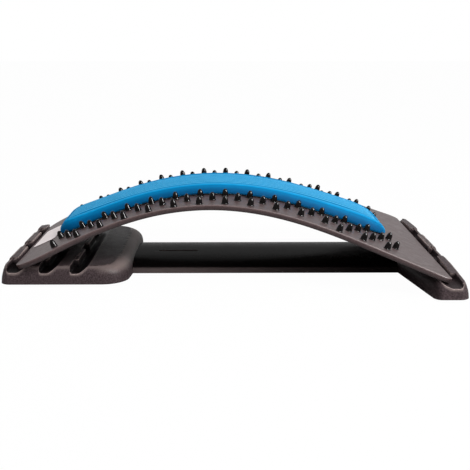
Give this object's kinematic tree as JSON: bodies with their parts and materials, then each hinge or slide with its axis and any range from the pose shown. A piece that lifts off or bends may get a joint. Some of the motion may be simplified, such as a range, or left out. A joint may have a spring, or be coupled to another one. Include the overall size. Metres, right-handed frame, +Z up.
{
  "type": "arched back stretcher",
  "caption": "Flexible arched plate with pressure studs and a ribbed foam strip, its ends resting in groove seats of a low moulded base.",
  "frame": {"origin": "on the floor, at the middle of the base's footprint", "axes": "+X along the trainer towards the wide block with one groove, +Y across it, +Z up"},
  "size_m": [0.3902, 0.257, 0.0821],
  "materials": {
    "base_moulding": "fine grained black plastic",
    "plate_moulding": "grained dark grey plastic, studs glossy black",
    "foam": "soft closed-cell foam with fine ribs along it",
    "adhesive": "double-sided adhesive sheet",
    "label": "matt pale film, bare",
    "foot_rubber": "matt black"
  },
  "bodies": {
    "base": {"base_frame": "base_moulding", "foot_left_near": "foot_rubber", "foot_left_far": "foot_rubber", "foot_right_near": "foot_rubber", "foot_right_far": "foot_rubber"},
    "arch": {"arch_plate": "plate_moulding", "foam_strip": "foam", "foam_adhesive": "adhesive", "blank_label": "label"}
  },
  "joints": [
    {"name": "plate_lift", "type": "hinge", "parent": "base", "child": "arch", "pos_m": [0.18052, 0, 0.014], "axis": [0, 1, 0], "range_deg": [0, 60]}
  ]
}
